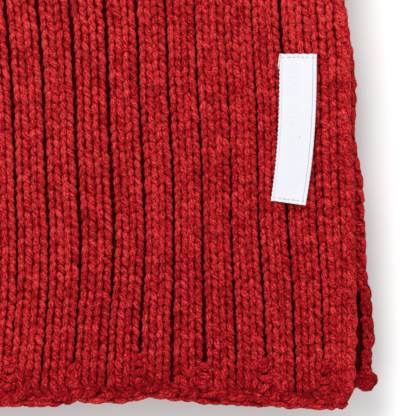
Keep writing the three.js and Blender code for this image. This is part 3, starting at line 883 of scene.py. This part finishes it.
class SCARF_OT_selvedges(bpy.types.Operator):
    """Chain the selvedges of all four layers"""

    bl_idname = "scarf.selvedges"
    bl_label = "Selvedges"

    def execute(self, context):
        yarn = bpy.data.materials["red_yarn"]
        near_v = LOWER_Y - HEM_Y
        whole = ("arch", "inner", "side", "lower")
        jobs = [
            ("labelled_end", top_sheet, np.arange(7.4, FAR_V + math.pi * OUTER_R - 3, LINK), whole),
            ("plain_end", plain_sheet, np.arange(7.6, FAR_V - 2, LINK), whole),
            ("third_layer", upper_hidden_sheet, np.arange(near_v - math.pi * LOWER_R, FAR_V, LINK), ("side", "lower")),
            ("lowest_layer", lower_hidden_sheet, np.arange(near_v, FAR_V, LINK), ("side", "lower")),
            ("inner_fold", inner_sheet, FAR_V + LAYER * np.linspace(0.2, math.pi, 5), ("side", "lower")),
        ]
        for seed, (name, sheet, rows, strands) in enumerate(jobs):
            for right in (True, False):
                full_name = f"{name}_{'right' if right else 'left'}_selvedge"
                sides = 7 if right and seed < 2 else 5
                look = {}
                if sheet is plain_sheet and right:
                    # Painted shade: the plain end's right selvedge, beside and under the top layer, is coloured
                    # darker, most within about 40 mm of its free end.
                    look = {"breadth": 1.3, "tone": -0.1 + 0.5 * ease((rows - 40) / 20)}
                    strands = (*whole, "cross")
                if sheet is top_sheet:
                    # Painted light makes the top layer's selvedges paler in the same patches as its stitches.
                    look = {"tone": 0.4 + bells(PAINTED_LIGHT_PATCHES, 0 if right else WIDTH, rows)}
                piece = selvedge(full_name, sheet, rows, right, yarn, strands, 31 + 2 * seed + right, sides, **look)
                strands = strands[:4]
        return {"FINISHED"}


class SCARF_OT_free_ends(bpy.types.Operator):
    """Finish the two free ends with loops and purl bumps"""

    bl_idname = "scarf.free_ends"
    bl_label = "Free ends"

    def execute(self, context):
        yarn = bpy.data.materials["red_yarn"]
        # Each end's painted light tone: lower on the bind-off end, which lies under the top layer, as painted shade.
        for name, sheet, node, seed, painted_light_tone in [
            ("cast_on_loops", top_sheet, "cast_on_edge", 41, 0.45),
            ("bind_off_loops", plain_sheet, "bind_off_edge", 42, 0.05),
        ]:
            piece = free_end(name, sheet, yarn, seed, painted_light_tone)
            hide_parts(node)
        return {"FINISHED"}


class SCARF_OT_label(bpy.types.Operator):
    """Sew on the blank woven label"""

    bl_idname = "scarf.label"
    bl_label = "Label"

    def execute(self, context):
        tape = tape_material(context.scene.scarf_label)
        points = self.tape_points()
        rows, count = points.shape[:2]
        uv = stacked(np.linspace(0, 1, count)[None, :], np.linspace(0, 1, rows)[:, None], 0)[..., :2].reshape(-1, 2)
        lower = points - (0, 0, LABEL["thickness"])
        grid = np.arange(rows * count).reshape(rows, count)
        top = np.stack([grid[:-1, :-1], grid[1:, :-1], grid[1:, 1:], grid[:-1, 1:]], -1).reshape(-1, 4)
        rim = np.concatenate([grid[0, :], grid[1:, -1], grid[-1, -2::-1], grid[-2:0:-1, 0]])
        nxt = np.roll(rim, -1)
        size = rows * count
        side = np.stack([rim, nxt, nxt + size, rim + size], -1)
        faces = np.concatenate([top, top[:, ::-1] + size, side])
        both = np.concatenate([points.reshape(-1, 3), lower.reshape(-1, 3)])
        uv = np.concatenate([uv, uv])[faces.ravel()]
        label = add_mesh("woven_label", slope(both), [faces], tape, uv)
        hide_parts("label")
        self.sewing(context.scene, points)
        return {"FINISHED"}

    def sewing(self, scene, tape):
        """The thread that holds the label: a row of short stitches across each end, and its loose end beside the
        upper left corner. A stitch is an arch over the tape, and the loose end a smooth curve through listed points."""
        rng = np.random.default_rng(51)
        rows, count = tape.shape[:2]
        paths = []
        for share in SEWING["rows"]:
            across = tape[round(share * (rows - 1))]
            for at in np.linspace(0.1, 0.9, SEWING["stitches"]):
                middle = across[round(at * (count - 1))]
                t = np.linspace(-0.5, 0.5, len(STRAND_PROFILE))
                paths.append(stacked(
                    middle[0] + t * SEWING["length"], middle[1] + rng.normal(0, 0.08) + 0 * t,
                    middle[2] + 0.16 - 0.5 * (2 * t) ** 4,
                ))
        corner = tape[0, 0]
        loose = np.array([corner + step for step in SEWING["loose"]])
        paths.append(curve(loose, len(STRAND_PROFILE)))
        centres = np.array(paths)
        outs = np.broadcast_to(np.array([0.0, 0.0, 1.0]), centres.shape)
        width = np.full(len(paths), SEWING["half_width"])
        width[-1] *= 1.35
        # The thread's colours for its creases, middle and crowns: the darker share is painted shade in its creases.
        shades = [[share * c for c in scene.scarf_label.thread] for share in (0.72, 0.92, 1.0)]
        thread = yarn_material("sewing_thread", shades, scene.scarf_yarn)
        return tube_strands("label_thread", centres, outs, width, width, STRAND_PROFILE, thread, 7, 0.6)

    def tape_points(self):
        """The label's upper side: a strip whose centre line bends by a power of the distance from its upper
        end. Its edges are finely toothed, two lines are woven in near its sides, and one corner lifts."""
        share = np.linspace(0, 1, 201)[:, None]
        across = np.linspace(-1, 1, 25)[None, :]
        bend, power, length, half = LABEL["bend"], LABEL["power"], LABEL["length"], LABEL["width"] / 2
        x = LABEL["top_x"] - bend * share**power
        v = LABEL["top_v"] - length * share
        turn = 0.8 * bend * power * share ** (power - 1) / length
        teeth = 1 + (0.011 - 0.006 * across) * np.sin(share * 2 * math.pi * 34) * (np.abs(across) > 0.9)
        half = half * (1 - LABEL["taper"] * share**2)
        x = x + half * across * teeth
        ends = ease(1 - share / 0.02) - 0.4 * ease(1 - (1 - share) / 0.02)
        v = v - half * across * turn + 0.13 * ends * np.sin((across + 1) * 2 * math.pi * 2.5)
        line_u = HALF - x
        points, out = top_sheet(line_u, v)
        points[..., 0] = x
        lines = np.exp(-(((across - 0.80) / 0.035) ** 2)) + 0.7 * np.exp(-(((across + 0.86) / 0.035) ** 2))
        corner = 1.3 * np.clip((share - 0.86) / 0.14, 0, 1) ** 2 * np.clip((across + 0.1) / 1.1, 0, 1)
        sag = 0.12 * np.sin((x - 88) / 6.2 * math.pi)
        points[..., 2] += 0.98 + corner + sag - 0.10 * lines
        return points


class SCARF_OT_stage(bpy.types.Operator):
    """Set up the floor, lights and camera"""

    bl_idname = "scarf.stage"
    bl_label = "Studio"

    def execute(self, context):
        studio = context.scene.scarf_studio
        self.floor()
        self.lights(studio)
        data = bpy.data.cameras.new("camera")
        data.sensor_width = 36
        data.lens = 36 * (studio.distance - STACK_TOP * MM) / studio.view_width
        data.clip_end = 50
        camera = bpy.data.objects.new("camera", data)
        camera.location = (*studio.centre, studio.distance)
        context.scene.collection.objects.link(camera)
        context.scene.camera = camera
        context.scene.view_settings.view_transform = "Standard"
        context.scene.view_settings.look = "None"
        return {"FINISHED"}

    def floor(self):
        mesh = bpy.data.meshes.new("floor")
        mesh.from_pydata([(-4, -4, 0), (4, -4, 0), (4, 4, 0), (-4, 4, 0)], [], [(0, 1, 2, 3)])
        floor = bpy.data.objects.new("floor", mesh)
        bpy.context.scene.collection.objects.link(floor)
        material = bpy.data.materials.new("floor_paper")
        material.use_nodes = True
        shader = material.node_tree.nodes["Principled BSDF"]
        shader.inputs["Base Color"].default_value = (0.93, 0.93, 0.93, 1)
        shader.inputs["Roughness"].default_value = 0.9
        shader.inputs["Specular IOR Level"].default_value = 0.0
        mesh.materials.append(material)

    def lights(self, studio):
        world = bpy.data.worlds.new("studio_world")
        world.use_nodes = True
        background = world.node_tree.nodes["Background"]
        background.inputs[0].default_value = (1, 1, 1, 1)
        background.inputs[1].default_value = 0.74
        bpy.context.scene.world = world
        for name, place, size, power in [
            ("key_light", (-0.4, 0.8, 1.1), 0.9, 16.0),
            ("fill_light", (1.1, -0.8, 1.6), 1.2, 6.0),
        ]:
            data = bpy.data.lights.new(name, "AREA")
            data.size = size
            data.energy = power
            lamp = bpy.data.objects.new(name, data)
            lamp.location = place
            direction = np.array([studio.centre[0], studio.centre[1], 0]) - np.array(place)
            flat = math.hypot(direction[0], direction[1])
            lamp.rotation_euler = (math.atan2(flat, -direction[2]), 0, math.atan2(direction[1], direction[0]) - math.pi / 2)
            bpy.context.scene.collection.objects.link(lamp)


class SCARF_PT_panel(bpy.types.Panel):
    """Lists the steps of the scarf"""

    bl_label = "Rib scarf"
    bl_idname = "SCARF_PT_panel"
    bl_space_type = "VIEW_3D"
    bl_region_type = "UI"
    bl_category = "Scarf"

    def draw(self, context):
        for step in STEPS:
            self.layout.operator(step.bl_idname)


STEPS = (
    SCARF_OT_layers, SCARF_OT_stitches, SCARF_OT_selvedges, SCARF_OT_free_ends, SCARF_OT_label, SCARF_OT_stage,
)
CLASSES = (ScarfYarn, ScarfLabel, ScarfStudio, *STEPS, SCARF_PT_panel)


def register():
    for cls in CLASSES:
        bpy.utils.register_class(cls)
    bpy.types.Scene.scarf_yarn = PointerProperty(type=ScarfYarn)
    bpy.types.Scene.scarf_label = PointerProperty(type=ScarfLabel)
    bpy.types.Scene.scarf_studio = PointerProperty(type=ScarfStudio)


def unregister():
    del bpy.types.Scene.scarf_studio
    del bpy.types.Scene.scarf_label
    del bpy.types.Scene.scarf_yarn
    for cls in reversed(CLASSES):
        bpy.utils.unregister_class(cls)


def main():
    register()
    bpy.ops.scarf.layers()
    bpy.ops.scarf.stitches()
    bpy.ops.scarf.selvedges()
    bpy.ops.scarf.free_ends()
    bpy.ops.scarf.label()
    bpy.ops.scarf.stage()
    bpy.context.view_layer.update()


if __name__ == "__main__":
    main()
